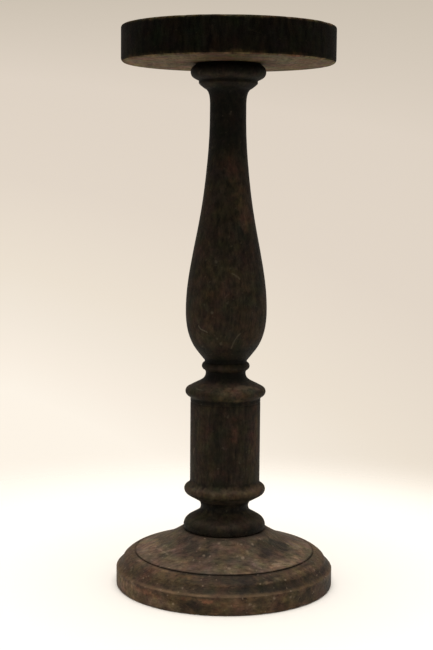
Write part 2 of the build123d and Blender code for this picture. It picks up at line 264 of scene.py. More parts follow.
WEDGE_STRENGTHS = COLUMN_STRENGTHS | {"gloss": 0.1}
BASE_STRENGTHS = COLUMN_STRENGTHS | {
    "drift": 0.35, "mottle": 0.75, "dust": 0.9, "ring": 0.25, "grime_and_shade": 1.0, "speckle": 0.35,
    "gloss": 0.1,
}

# ---- wood textures
# How many features a metre each texture has.
STREAKS, FIBRES, PORES, CLOUDS, SMUDGES = 190, 1500, 900, 24, 85
GRITS, MOTTLES, DRIFTS, SPECKLES, WOBBLES = 620, 230, 70, 260, 9
GRAIN_STRETCH = 0.09  # textures that follow the grain are drawn out along it
MOTTLE_STRETCH = 0.55
BLOTCH_STRETCH = 0.25
RING_WOBBLE = 5  # in ring spacings
RING_POWER = 2.2
RELIEF = 0.0003

# ---- stage
FLOOR_RADIUS = 0.64
FLOOR_COLOUR = (0.9, 0.88, 0.845)
FADE_START = 0.2  # the floor starts to fade at this radius
AMBIENT = 0.5
AMBIENT_COLOUR = (1.0, 0.93, 0.84)
BACKDROP_FROM = -0.245  # sine of the elevation at which the backdrop is lightest
BACKDROP_TO = 0.13
BACKDROP_SIDE = 0.16  # how far to each side the backdrop goes on changing
BACKDROP_LEAN = 0.288  # how far along its colours that takes it
BACKDROP = [
    (0.0, (0.99, 0.91, 0.8)), (0.1, (0.94, 0.85, 0.74)), (0.2, (0.885, 0.8, 0.69)),
    (0.32, (0.84, 0.75, 0.635)), (0.55, (0.765, 0.675, 0.578)), (0.8, (0.735, 0.648, 0.554)),
    (1.0, (0.61, 0.54, 0.45)),
]


# ---- mesh making
def hashed(cells, seed):
    """A repeatable value from -1 to 1 for each whole-number cell."""
    mixed = cells.astype(np.int64) @ HASH_PRIMES + seed * HASH_SEED
    mixed = ((mixed ^ (mixed >> 13)) * HASH_MIXERS[0]) & HASH_MASK
    mixed = ((mixed ^ (mixed >> 15)) * HASH_MIXERS[1]) & HASH_MASK
    return (mixed ^ (mixed >> 16)) / (HASH_MASK // 2) - 1


def noise(points, size, seed):
    """Smooth noise from -1 to 1. size is how big its lumps are, one length or one for each axis."""
    scaled = points / np.broadcast_to(size, 3)
    cell = np.floor(scaled)
    part = scaled - cell
    part = part * part * (3 - 2 * part)
    total = np.zeros(len(points))
    for corner in itertools.product((0, 1), repeat=3):
        weight = np.prod(np.where(corner, part, 1 - part), axis=1)
        total += weight * hashed(cell + corner, seed)
    return total


def layered(points, size, seed, layers=3):
    """Noise with finer and fainter copies of itself added."""
    total = sum(noise(points, np.array(size) / 2**i, seed + i) / 2**i for i in range(layers))
    return total / (2 - 2 ** (1 - layers))


def smoothstep(low, high, value):
    """0 at low and 1 at high, with a soft start and end."""
    part = np.clip((value - low) / (high - low), 0, 1)
    return part * part * (3 - 2 * part)


def cad_outline(node):
    """The (radius, height) points, in order, where the half plane Y = 0, X > 0 cuts a CAD node."""
    mesh = bmesh.new()
    mesh.from_mesh(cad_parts[node].data)
    bmesh.ops.remove_doubles(mesh, verts=mesh.verts, dist=WELD)
    whole = [*mesh.verts, *mesh.edges, *mesh.faces]
    plane = {"plane_co": (0, 0, 0), "plane_no": (0, 1, 0), "clear_inner": True, "clear_outer": True}
    bmesh.ops.bisect_plane(mesh, geom=whole, dist=WELD, **plane)
    bmesh.ops.remove_doubles(mesh, verts=mesh.verts, dist=WELD)
    right = {v for v in mesh.verts if v.co.x > WELD}
    beside = {v: [e.other_vert(v) for e in v.link_edges if e.other_vert(v) in right] for v in right}
    ends = [v for v in right if len(beside[v]) == 1]
    walk = [min(ends or right, key=lambda v: (v.co.z, v.co.x))]
    while True:
        onward = [v for v in beside[walk[-1]] if v not in walk]
        if not onward:
            break
        walk.append(onward[0])
    points = np.array([(v.co.x, v.co.z) for v in walk])
    mesh.free()
    area = np.sum(points[:, 0] * np.roll(points[:, 1], -1) - np.roll(points[:, 0], -1) * points[:, 1])
    return points if area > 0 else points[::-1]


def smooth_tangents(points, closed):
    """The direction of the outline as it enters and as it leaves each point."""
    ahead = np.roll(points, -1, axis=0) - points
    length = np.maximum(norm(ahead, axis=1), 1e-12)
    ahead /= length[:, None]
    behind = np.roll(ahead, 1, axis=0)
    behind_length = np.roll(length, 1)
    turn = np.arccos(np.clip((ahead * behind).sum(axis=1), -1, 1))
    middle = ahead + behind
    middle /= np.maximum(norm(middle, axis=1), 1e-12)[:, None]
    middle = np.where((length > LONG_SEGMENT)[:, None], ahead, middle)
    middle = np.where((behind_length > LONG_SEGMENT)[:, None], behind, middle)
    corner = turn > CORNER
    if not closed:
        corner[[0, -1]] = True
    enter = np.where(corner[:, None], behind, middle)
    leave = np.where(corner[:, None], ahead, middle)
    return enter, leave, length


def filled_in(points, closed):
    """The outline with many points, on curves between the CAD's where it is round."""
    enter, leave, length = smooth_tangents(points, closed)
    pieces = []
    for i in range(len(points) if closed else len(points) - 1):
        j = (i + 1) % len(points)
        count = max(2, int(length[i] / FINE_STEP))
        t = (np.arange(count) / count)[:, None]
        start, end = points[i], points[j]
        out, into = leave[i] * length[i], enter[j] * length[i]
        pieces.append(
            start * (1 + 2 * t) * (1 - t) ** 2
            + out * t * (1 - t) ** 2
            + end * t * t * (3 - 2 * t)
            + into * t * t * (t - 1)
        )
    if not closed:
        pieces.append(points[-1:])
    return np.concatenate(pieces)


def spaced(line, measure, count, closed):
    """count points of a line, evenly spaced by a measure that grows along it."""
    at = np.linspace(0, measure[-1], count, endpoint=not closed)
    return np.stack([np.interp(at, measure, line[:, k]) for k in (0, 1)], axis=1)


def distance_along(line):
    """How far along a line each of its points is."""
    return np.cumsum(norm(np.diff(line, axis=0, prepend=line[:1]), axis=1))


def evenly(points, closed, spacing):
    """The same line with its points a given distance apart."""
    line = np.concatenate([points, points[:1]]) if closed else points
    along = distance_along(line)
    return spaced(line, along, int(along[-1] / spacing), closed)


def softened(points, closed, reach):
    """The outline blurred by a small distance, so that no corner is knife sharp."""
    span = int(reach * 3 / FINE_STEP) + 1
    offsets = np.arange(-span, span + 1)
    weights = np.exp(-0.5 * (offsets * FINE_STEP / reach) ** 2)
    weights /= weights.sum()
    mode = "wrap" if closed else "edge"
    padded = np.pad(points, ((span, span), (0, 0)), mode=mode)
    blurred = np.stack([np.convolve(padded[:, k], weights, "valid") for k in (0, 1)], axis=1)
    if not closed:
        blurred[[0, -1]] = points[[0, -1]]
    return blurred


def thinned(points, closed, is_hidden):
    """Fewer points: close together on curves, wider on straights, widest where nothing shows."""
    line = np.concatenate([points, points[:1]]) if closed else points
    step = np.diff(line, axis=0)
    length = norm(step, axis=1)
    angle = np.unwrap(np.arctan2(step[:, 1], step[:, 0]))
    turn = np.abs(np.diff(angle, prepend=angle[:1]))
    spacing = np.where(is_hidden(line[:-1]), HIDDEN_SPACING, SHOWN_SPACING)
    need = np.concatenate([[0], np.cumsum(length / spacing + turn / CURVE_SPACING)])
    return spaced(line, need, int(need[-1]) + 1, closed)


def outline_normals(points, closed):
    """Outward directions of an outline that runs anticlockwise in (radius, height)."""
    if closed:
        along = np.roll(points, -1, axis=0) - np.roll(points, 1, axis=0)
    else:
        along = np.gradient(points, axis=0)
    along /= np.maximum(norm(along, axis=1), 1e-12)[:, None]
    return np.stack([along[:, 1], -along[:, 0]], axis=1)


def bend(points, closed):
    """How sharply the outline turns at each point, in radians: above 0 where it is convex."""
    ahead = np.roll(points, -1, axis=0) - points
    behind = points - np.roll(points, 1, axis=0)
    turn = np.arctan2(
        behind[:, 0] * ahead[:, 1] - behind[:, 1] * ahead[:, 0], (behind * ahead).sum(axis=1)
    )
    if not closed:
        turn[[0, -1]] = 0
    return turn


class Turning:
    """A turned piece as a grid of points: rows up the outline, columns round the axis."""

    def __init__(self, outline, closed, segments, is_hidden):
        fine = softened(evenly(filled_in(outline, closed), closed, FINE_STEP), closed, EASED)
        self.closed = closed
        self.segments = segments
        self.outline = thinned(fine, closed, is_hidden)
        self.rows = len(self.outline)
        around = np.arange(segments) / segments * 2 * np.pi
        across = np.stack([np.sin(around), -np.cos(around)], axis=1)
        self.points = self.spin(self.outline, across)
        self.normals = self.spin(outline_normals(self.outline, closed), across)
        self.azimuth = np.tile(np.degrees(around), self.rows)
        self.row = np.repeat(np.arange(self.rows), segments)
        self.radius = self.outline[self.row, 0]
        self.height = self.outline[self.row, 1]
        self.edge = self.spread_bend(EDGE_REACH)
        self.broad_edge = self.spread_bend(BROAD_EDGE_REACH)
        self.sink = np.zeros(len(self.points))
        self.marks = {}

    def spin(self, flat, across):
        """Turns (radius, height) pairs about the axis, row by row."""
        level = flat[:, None, 0:1] * across[None]
        rise = np.broadcast_to(flat[:, None, 1:2], (len(flat), len(across), 1))
        return np.concatenate([level, rise], axis=2).reshape(-1, 3)

    def spread_bend(self, reach):
        """The outline's bend within reach of each point: about 1 at a square convex edge."""
        turn = bend(self.outline, self.closed)
        along = distance_along(self.outline)
        gap = np.abs(along[:, None] - along[None])
        if self.closed:
            gap = np.minimum(gap, along[-1] - gap)
        near = np.exp(-0.5 * (gap / reach) ** 2)
        return (near @ turn)[self.row] / (math.pi / 2)

    def place(self, azimuth, radius=None, height=None):
        """The point on the shown surface at an azimuth and a radius or a height."""
        key, value = (0, radius) if height is None else (1, height)
        off = np.abs(self.outline[:, key] - value)
        near = off < off.min() + ON_OUTLINE
        flat = self.outline[np.argmax(np.where(near, self.outline[:, 1 - key], -1))]
        angle = math.radians(azimuth)
        return np.array([flat[0] * math.sin(angle), -flat[0] * math.cos(angle), flat[1]])

    def mesh(self, name):
        """A closed mesh of the grid, capped on the axis if open, with the marks as attributes."""
        points = self.points - self.normals * np.maximum(self.sink, 0)[:, None]
        across, rows = self.segments, self.rows
        here = np.arange(across)
        ahead = (here + 1) % across
        faces = []
        for i in range(rows if self.closed else rows - 1):
            low, high = i * across, (i + 1) % rows * across
            faces += np.stack([low + here, low + ahead, high + ahead, high + here], axis=1).tolist()
        if not self.closed:
            ends = [(0, 0, self.outline[0, 1]), (0, 0, self.outline[-1, 1])]
            points = np.concatenate([points, ends])
            first, last = rows * across, rows * across + 1
            top = (rows - 1) * across
            faces += [[first, int(b), int(a)] for a, b in zip(here, ahead)]
            faces += [[last, int(top + a), int(top + b)] for a, b in zip(here, ahead)]
        made = bpy.data.meshes.new(name)
        made.from_pydata(points.tolist(), [], faces)
        for kind, value in self.marks.items():
            filled = np.zeros(len(points), np.float32)
            filled[: len(value)] = np.clip(value, 0, 1)
            made.attributes.new(kind, "FLOAT", "POINT").data.foreach_set("value", filled)
        made.polygons.foreach_set("use_smooth", np.ones(len(made.polygons), bool))
        made.update()
        return made


# ---- wear and marks
def around_gap(azimuth, centre):
    """Degrees between two azimuths, the short way."""
    return np.abs((azimuth - centre + 180) % 360 - 180)


def within(part, centre, reach):
    """The numbers of the points no further than reach from centre."""
    return np.flatnonzero((np.abs(part.points - centre) < reach).all(axis=1))


def blob(part, centre, size, ragged=0.9, seed=0):
    """1 at centre, fading to 0 at about size (across, along) away, with a ragged border."""
    flat = math.hypot(centre[0], centre[1])
    across = np.array([-centre[1], centre[0], 0]) / flat
    close = within(part, centre, 2 * max(size) + 1 * MM)
    points = part.points[close]
    normal = part.normals[close[np.argmin(((points - centre) ** 2).sum(axis=1))]]
    along = np.cross(normal, across)
    away = points - centre
    distance = np.hypot(away @ across / size[0], away @ along / size[1])
    distance = np.hypot(distance, away @ normal / max(size))
    distance += ragged * layered(points, min(size) * 0.6 + 1 * MM, seed, 4)
    found = np.zeros(len(part.points))
    found[close] = 1 - smoothstep(BLOB_CORE, BLOB_END, distance)
    return found


def stroke(part, places, width):
    """1 along a line through places on the surface, fading to 0 a width away."""
    found = np.zeros(len(part.points))
    for start, end in itertools.pairwise(places):
        run = end - start
        close = within(part, (start + end) / 2, norm(run) / 2 + width)
        points = part.points[close]
        t = np.clip((points - start) @ run / (run @ run), 0, 1)
        distance = norm(points - start - t[:, None] * run, axis=1)
        line = 1 - smoothstep(width * STROKE_CORE, width, distance)
        found[close] = np.maximum(found[close], line)
    return found


def random_dents(part, count, seed, is_open):
    """Small knocks all over: how deep they are at each point."""
    random = np.random.default_rng(seed)
    depth = np.zeros(len(part.points))
    open_rows = np.flatnonzero(is_open(part.outline))
    weight = part.outline[open_rows, 0]
    for _ in range(count):
        row = random.choice(open_rows, p=weight / weight.sum())
        centre = part.points[row * part.segments + random.integers(part.segments)]
        reach = random.uniform(*DENT_REACH) * MM
        stretch = np.array([1, 1, random.uniform(0.4, 1)])
        close = within(part, centre, reach)
        distance = norm((part.points[close] - centre) / stretch, axis=1) / reach
        dent = random.uniform(*DENT_DEPTH) * MM * (1 - smoothstep(0, 1, distance))
        depth[close] = np.maximum(depth[close], dent)
    return depth


def random_scratches(part, count, seed, is_open, lean):
    """Fine scratches: 1 on their lines. lean is 0 for level ones and 1 for upright ones."""
    random = np.random.default_rng(seed)
    found = np.zeros(len(part.points))
    open_rows = np.flatnonzero(is_open(part.outline))
    for _ in range(count):
        row = random.choice(open_rows)
        column = random.integers(part.segments)
        start = part.points[row * part.segments + column]
        rows_on = int(random.normal(0, SCRATCH_ROWS) * lean)
        columns_on = int(random.normal(0, SCRATCH_COLUMNS) * (1.2 - lean))
        end_row = int(np.clip(row + rows_on, open_rows[0], open_rows[-1]))
        end = part.points[end_row * part.segments + (column + columns_on) % part.segments]
        if norm(end - start) < SHORT_SCRATCH:
            continue
        line = stroke(part, [start, end], FINE_SCRATCH)
        found = np.maximum(found, line * random.uniform(0.3, 1))
    return found


def lathe_ridges(part, seed):
    """Faint rings that the turning tool left, as a depth."""
    along = distance_along(part.outline)
    line = np.stack([along, along * 0, along * 0], axis=1)
    ring = sum(noise(line, size, seed + i) * 0.5 for i, size in enumerate(RIDGE_SIZES))
    return (ring * 0.5 + 0.5)[part.row] * RIDGE_DEPTH


def edge_chips(part, size, depth, seed):
    """Where a sharp convex edge has been knocked or rubbed away, as a depth."""
    sharp = smoothstep(0.25, 0.8, part.edge)
    rubbed = smoothstep(-0.1, 0.9, layered(part.points, size, seed)) * 0.45
    knocked = smoothstep(0.35, 0.75, noise(part.points, size * 0.45, seed + 9))
    return sharp * depth * (rubbed + knocked)


def weather(part, seed, dents, is_open, dusty=0.5):
    """The marks every piece has: worn edges, grime and painted shade in the hollows, and dust where it
    can lie.
    """
    points = part.points
    patchy = layered(points, PATCH_SIZE, seed)
    fine = layered(points, FINE_PATCH_SIZE, seed + 20)
    depth = random_dents(part, dents, seed, is_open)
    part.sink += depth + lathe_ridges(part, seed + 3)
    part.marks["wear"] = smoothstep(0.12, 0.9, part.edge + 0.35 * patchy + 0.25 * fine)
    # Grime and painted shade in the hollows, where the outline turns inward.
    part.marks["grime_and_shade"] = smoothstep(0.05, 0.55, -part.broad_edge + 0.1 * fine)
    part.marks["dust"] = smoothstep(0.1, 1.1, part.normals[:, 2] + 0.45 * patchy + 0.3 * fine) * dusty
    for kind in MARKS:
        part.marks[kind] = np.zeros(len(points))
    part.marks["pale"] = smoothstep(0.1 * MM, 0.3 * MM, depth) * DENT_PALE


def add_mark(part, kind, value):
    """Adds to a mark wherever value is more than what is there."""
    part.marks[kind] = np.clip(np.maximum(part.marks[kind], value), 0, 1)


def paint(part, patches, key, seed):
    """Ragged patches. key says whether the table places them by radius or by height."""
    for number, (kind, azimuth, at, across, along, strength) in enumerate(patches):
        centre = part.place(azimuth, **{key: at * MM})
        patch = blob(part, centre, (across * MM, along * MM), seed=seed + number)
        add_mark(part, kind, patch * strength)


def scratch(part, lines, key):
    """Light scratches."""
    for strength, places in lines:
        route = [part.place(azimuth, **{key: at * MM}) for azimuth, at in places]
        line = stroke(part, route, DRAWN_SCRATCH)
        add_mark(part, "pale", line * strength)
        part.sink += line * strength * SCRATCH_DEPTH


def speck(part, spots, key, seed):
    """Small light spots."""
    for number, (azimuth, at, size, strength) in enumerate(spots):
        centre = part.place(azimuth, **{key: at * MM})
        spot = blob(part, centre, (size * MM, size * MM), 0.6, seed + number)
        add_mark(part, "pale", spot * strength * SPECK_PALE)


def arris_highlight(part):
    """A painted highlight along the plinth's arris, in the colour of bare wood: strong at the front left
    and only greyed on the right.
    """
    near = np.exp(-0.5 * ((part.height - ARRIS_HEIGHT) / (0.62 * MM)) ** 2)
    near *= part.radius > BASE_RADIUS - 3 * MM
    left = 1 - smoothstep(5, 50, around_gap(part.azimuth, -18))
    broken = np.clip(0.5 + 0.9 * layered(part.points, 8 * MM, seed=90), 0, 1)
    add_mark(part, "light_tone", near * (0.18 + 0.52 * left) * broken)


def groove_dirt_and_shade(part):
    """How strong the dirt packed in the groove between dome and plinth, and the painted shade below it,
    are: most at the front.
    """
    front = 1 - smoothstep(25, 95, around_gap(part.azimuth, 10))
    return np.clip(0.35 + 0.45 * front + 0.3 * layered(part.points, 12 * MM, seed=97), 0, 1)


def shaded_cove(part):
    """Painted shade in the plinth's cove, most on the right."""
    band = np.exp(-0.5 * ((part.height - COVE_HEIGHT) / (2.6 * MM)) ** 2)
    band *= part.radius > BASE_RADIUS - 9 * MM
    right = 1 - smoothstep(20, 75, around_gap(part.azimuth, 45))
    patchy = 0.95 + 0.4 * layered(part.points, 14 * MM, seed=95)
    add_mark(part, "dark", band * (0.5 + 0.9 * right) * patchy)


# ---- pieces
def new_object(name, data):
    """A new object in the scene."""
    made = bpy.data.objects.new(name, data)
    bpy.context.scene.collection.objects.link(made)
    return made


def show(part, name, slot, material, *nodes):
    """Puts a turned piece in place of CAD nodes."""
    piece = new_object(name, part.mesh(name))
    piece.data.materials.append(material)
    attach(piece, "root")
    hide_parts(*nodes)
    return piece


def column_outline():
    """The column's half section from axis to axis, with plain round tenons."""
    lower_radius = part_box("base_wedge")[1].y
    upper_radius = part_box("plate_wedge")[1].x
    cut = cad_outline("column")
    outside = (cut[:, 1] > DOME_HIGH.z - WELD) & (cut[:, 1] < PLATE_LOW.z + WELD)
    turned = cut[outside & (cut[:, 0] > lower_radius + WELD)]
    lower = [(0, COLUMN_LOW.z), (lower_radius, COLUMN_LOW.z), (lower_radius, DOME_HIGH.z)]
    upper = [(upper_radius, PLATE_LOW.z), (upper_radius, HEIGHT), (0, HEIGHT)]
    return np.concatenate([lower, turned, upper])


def dark_and_shade_round_column(part):
    """Dark finish and painted shade in the column's hollows and at its two ends."""
    for height, reach, strength in DARK_AND_SHADE_BANDS:
        edge = reach * (1 + 0.3 * layered(part.points, BAND_LUMPS, seed=120))
        band = 1 - smoothstep(0.5, 1.1, np.abs(part.height - height) / edge)
        add_mark(part, "dark", band * strength)


def make_column(material):
    """The spindle, with its mouldings and its two wedged tenons."""

    def hidden(line):
        return (line[:, 1] < DOME_HIGH.z) | (line[:, 1] > PLATE_LOW.z)

    def shown(line):
        return ~hidden(line)

    part = Turning(column_outline(), False, COLUMN_SEGMENTS, hidden)
    weather(part, seed=11, dents=46, is_open=shown)
    part.sink += edge_chips(part, size=9 * MM, depth=0.5 * MM, seed=14)
    scratches = random_scratches(part, count=46, seed=15, is_open=shown, lean=0.7)
    add_mark(part, "pale", scratches * 0.2)
    paint(part, COLUMN_PATCHES, "height", seed=100)
    scratch(part, COLUMN_SCRATCHES, "height")
    speck(part, COLUMN_SPECKS, "height", seed=150)
    part.marks["grime_and_shade"] *= 1 - 0.9 * part.marks["dust"]
    # Painted shade under the plate, and painted shade over the dark joint at the column's foot.
    near_plate = smoothstep(9 * MM, 3 * MM, PLATE_LOW.z - part.height)
    near_base = smoothstep(1.5 * MM, 0, part.height - DOME_HIGH.z)
    add_mark(part, "grime_and_shade", np.maximum(near_plate * 0.8, near_base))
    # Bands of dark finish and painted shade.
    dark_and_shade_round_column(part)
    cut_kerfs(show(part, "column_turned", "column_wood", material, "column"))


def cut_kerfs(piece):
    """Saw slots in the two tenons, a little wider than their wedges."""
    gap = Vector((KERF_GAP, KERF_GAP, KERF_GAP))
    for node, open_end in (("base_wedge", -1), ("plate_wedge", 1)):
        low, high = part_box(node)
        low, high = low - gap, high + gap
        (low if open_end < 0 else high).z += gap.z * open_end
        block = bmesh.new()
        bmesh.ops.create_cube(block, size=1)
        block.transform(Matrix.Translation((low + high) / 2) @ Matrix.Diagonal((*(high - low), 1)))
        cutter_mesh = bpy.data.meshes.new("kerf")
        block.to_mesh(cutter_mesh)
        block.free()
        cutter = new_object("kerf", cutter_mesh)
        cut = piece.modifiers.new("kerf", "BOOLEAN")
        cut.operation = "DIFFERENCE"
        cut.solver = "MANIFOLD"
        cut.object = cutter
        deps = bpy.context.evaluated_depsgraph_get()
        sawn = bpy.data.meshes.new_from_object(
            piece.evaluated_get(deps), preserve_all_data_layers=True, depsgraph=deps
        )
        piece.modifiers.clear()
        piece.data = sawn
        bpy.data.objects.remove(cutter)


def make_plate(material):
    """The round board on top: dark all over but for its dry underside."""

    def shown(line):
        return line[:, 0] > MORTISE_COVER

    outline = cad_outline("top_plate")
    part = Turning(outline, True, BOARD_SEGMENTS, lambda line: ~shown(line))
    weather(part, seed=31, dents=26, is_open=shown)
    part.sink += edge_chips(part, size=12 * MM, depth=0.6 * MM, seed=34)
    part.marks["raw"] = smoothstep(0.55, 0.9, -part.normals[:, 2])
    # Painted shade on the underside round the collar, and the underside made darker towards the front.
    at_collar = smoothstep(COLUMN_RADIUS * 1.7, COLUMN_RADIUS, part.radius)
    add_mark(part, "grime_and_shade", at_collar * part.marks["raw"] * 0.6)
    at_front = np.exp(-0.5 * (around_gap(part.azimuth, 0) / 26) ** 2)
    add_mark(part, "grime_and_shade", part.marks["raw"] * (0.12 + 0.6 * at_front))
    scratches = random_scratches(part, count=30, seed=35, is_open=shown, lean=0.4)
    add_mark(part, "pale", scratches * 0.3)
    show(part, "plate_turned", "plate_wood", material, "top_plate")


def make_dome(material):
    """The upper board of the base."""

    def hidden(line):
        return (line[:, 1] < DOME_LOW.z + SHOWN_LIP) | (line[:, 0] < FOOT_COVER)

    part = Turning(cad_outline("base_dome"), True, BOARD_SEGMENTS, hidden)
    weather(part, seed=51, dents=22, is_open=lambda line: ~hidden(line), dusty=0.22)
    paint(part, DOME_PATCHES, "radius", seed=200)
    speck(part, DOME_SPECKS, "radius", seed=250)
    scratch(part, DOME_SCRATCHES, "radius")
    ragged = part.radius + 3 * MM * layered(part.points, 9 * MM, seed=56)
    add_mark(part, "dust", smoothstep(66 * MM, 74 * MM, ragged) * 0.5)
    # Painted shade over the dark joint round the column's foot, and dirt in the groove at the plinth.
    at_column = smoothstep(5 * MM, 0, part.radius - COLUMN_RADIUS)
    at_plinth = smoothstep(DOME_RADIUS - 1.3 * MM, DOME_RADIUS - 0.3 * MM, part.radius)
    add_mark(part, "grime_and_shade", np.maximum(at_column * 0.7, at_plinth * groove_dirt_and_shade(part)))
    show(part, "dome_turned", "dome_wood", material, "base_dome")


def make_plinth(material):
    """The lower board of the base, with the moulded rim."""

    def hidden(line):
        under = (line[:, 1] < PLINTH_UNDER_HEIGHT) & (line[:, 0] < PLINTH_UNDER_RADIUS)
        level = line[:, 1] > DOME_LOW.z - SHOWN_LIP
        glued = level & (line[:, 0] < DOME_RADIUS - GLUED_MARGIN)
        return under | glued | (line[:, 0] < MORTISE_COVER)

    part = Turning(cad_outline("base_plinth"), True, PLINTH_SEGMENTS, hidden)
    weather(part, seed=71, dents=30, is_open=lambda line: ~hidden(line), dusty=0.15)
    part.sink += edge_chips(part, size=10 * MM, depth=0.8 * MM, seed=74)
    part.marks["raw"] = smoothstep(0.6, 0.95, -part.normals[:, 2])
    paint(part, RIM_PATCHES, "height", seed=300)
    paint(part, SHOULDER_PATCHES, "radius", seed=340)
    speck(part, RIM_SPECKS, "height", seed=360)
    speck(part, SHOULDER_SPECKS, "radius", seed=380)
    arris_highlight(part)
    shaded_cove(part)
    # Dirt in the groove by the dome, and painted shade below it that is widest at the front.
    front = 1 - smoothstep(20, 70, around_gap(part.azimuth, 5))
    gap = np.abs(part.radius - DOME_RADIUS)
    at_dome = smoothstep(2 * MM + 2.4 * MM * front, 0.3 * MM + 1.2 * MM * front, gap)
    add_mark(part, "grime_and_shade", at_dome * (part.height > COVE_HEIGHT) * groove_dirt_and_shade(part))
    show(part, "plinth_turned", "plinth_wood", material, "base_plinth")


def dress_wedges(material):
    """The wedges keep their CAD shape and get their own wood."""
    for node in ("plate_wedge", "base_wedge"):
        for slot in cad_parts[node].material_slots:
            slot.material = material


# ---- materials
def add(tree, kind, sockets=None, **settings):
    """A shader node with its sockets set or linked."""
    made = tree.nodes.new("ShaderNode" + kind)
    for name, value in settings.items():
        setattr(made, name, value)
    for name, value in (sockets or {}).items():
        if isinstance(value, bpy.types.NodeSocket):
            tree.links.new(value, made.inputs[name])
        else:
            made.inputs[name].default_value = value
    return made


def blended(tree, amount, below, above, kind="MIX"):
    """One colour over another."""
    below, above = (c if isinstance(c, bpy.types.NodeSocket) else (*c, 1) for c in (below, above))
    mix = add(tree, "Mix", {0: amount, 6: below, 7: above}, data_type="RGBA", blend_type=kind)
    return mix.outputs[2]


def ranged(tree, value, low, high, out_low=0.0, out_high=1.0):
    """A value stretched from one range to another, and clamped."""
    sockets = {"Value": value, "From Min": low, "From Max": high, "To Min": out_low, "To Max": out_high}
    return add(tree, "MapRange", sockets).outputs["Result"]


def maths(tree, kind, first, second):
    """One sum."""
    return add(tree, "Math", {0: first, 1: second}, operation=kind).outputs[0]


def times(tree, first, second):
    return maths(tree, "MULTIPLY", first, second)


def lumps(tree, place, scale, detail=3.0, roughness=0.55):
    """Fractal noise from about 0.3 to 0.7."""
    sockets = {"Vector": place, "Scale": scale, "Detail": detail, "Roughness": roughness}
    return add(tree, "TexNoise", sockets).outputs["Fac"]


def mark(tree, name):
    """A mark that was painted on the mesh."""
    return add(tree, "Attribute", attribute_name=name).outputs["Fac"]


def uneven(tree, name, smudge, low, high, least):
    """A painted mark that is patchy, with least of it left where the smudges are faint."""
    return times(tree, mark(tree, name), ranged(tree, smudge, low, high, least, 1.0))


def drawn_out(tree, place, axis, share):
    """The place with one axis squeezed, so that what is drawn runs along it."""
    scale = [1.0, 1.0, 1.0]
    scale["XYZ".index(axis)] = share
    return add(tree, "Mapping", {"Vector": place, "Scale": scale}).outputs[0]


def growth_rings(tree, place, grain, pith, spacing):
    """The lines of the wood's growth rings, round a pith that runs along the grain: 0 to 1."""
    across = [0.0 if axis == grain else 1.0 for axis in "XYZ"]
    wobble = lumps(tree, place, WOBBLES, 2)
    moved = add(tree, "VectorMath", {0: place, 1: [-p for p in pith]}, operation="ADD").outputs[0]
    flat = add(tree, "VectorMath", {0: moved, 1: across}, operation="MULTIPLY").outputs[0]
    away = add(tree, "VectorMath", {0: flat}, operation="LENGTH").outputs["Value"]
    bent = maths(tree, "ADD", away, times(tree, wobble, spacing * RING_WOBBLE))
    turns = maths(tree, "FRACT", maths(tree, "DIVIDE", bent, spacing), 0.0)
    return maths(tree, "POWER", turns, RING_POWER)


def wood_textures(tree, grain, pith, spacing, blotch):
    """The textures that the colour and relief come from, 0 to 1 unless they multiply."""
    place = add(tree, "TexCoord").outputs["Object"]
    along = drawn_out(tree, place, grain, GRAIN_STRETCH)
    mottled = drawn_out(tree, place, blotch or grain, BLOTCH_STRETCH if blotch else MOTTLE_STRETCH)
    drift = add(tree, "TexNoise", {"Vector": place, "Scale": DRIFTS, "Detail": 3.0, "Roughness": 0.6})
    hue = add(tree, "VectorMath", {0: drift.outputs["Color"], "Scale": 2.0}, operation="SCALE")
    return {
        "streak": ranged(tree, lumps(tree, along, STREAKS, 4, 0.62), 0.34, 0.68),
        "fibre": lumps(tree, along, FIBRES, 2, 0.6),
        "pore": ranged(tree, lumps(tree, along, PORES, 1), 0.62, 0.72),
        "cloud": ranged(tree, lumps(tree, place, CLOUDS, 3), 0.36, 0.66),
        "smudge": ranged(tree, lumps(tree, place, SMUDGES, 4, 0.6), 0.36, 0.68),
        "grit": ranged(tree, lumps(tree, place, GRITS, 2, 0.6), 0.4, 0.7),
        "ring": growth_rings(tree, place, grain, pith, spacing),
        "hue": hue.outputs[0],
        "mottle": ranged(tree, lumps(tree, mottled, MOTTLES, 5, 0.72), 0.32, 0.68, 0.3, 1.7),
        "speckle": lumps(tree, place, SPECKLES, 1),
    }


def stained(tree, texture, colours, strengths):
    """Stained wood, redder where the stain has rubbed thin."""
    stain = blended(tree, texture["streak"], colours["deep"], colours["mid"])
    stain = blended(tree, times(tree, texture["cloud"], strengths["cloud"]), stain, colours["warm"])
    stain = blended(tree, times(tree, texture["ring"], strengths["ring"]), stain, colours["deep"])
    stain = blended(tree, times(tree, texture["pore"], 0.5), stain, colours["pore"])
    red = uneven(tree, "red", texture["smudge"], 0.0, 1.0, 0.55)
    return blended(tree, red, stain, colours["red"])


def unstained(tree, texture, colours):
    """Dry wood that was never stained."""
    light_tone = blended(tree, texture["streak"], colours["raw_deep"], colours["raw"])
    return blended(tree, times(tree, texture["ring"], 0.35), light_tone, colours["raw_deep"])


def dust_amount(tree, texture, dark):
    """How much dust shows: patchy, and little where the dark mark is, which holds dark finish and
    painted shade.
    """
    dust = uneven(tree, "dust", texture["smudge"], 0.05, 0.85, 0.4)
    dust = times(tree, dust, ranged(tree, texture["grit"], 0.0, 1.0, 0.8, 1.0))
    return times(tree, dust, ranged(tree, dark, 0.0, 1.0, 1.0, 0.3))


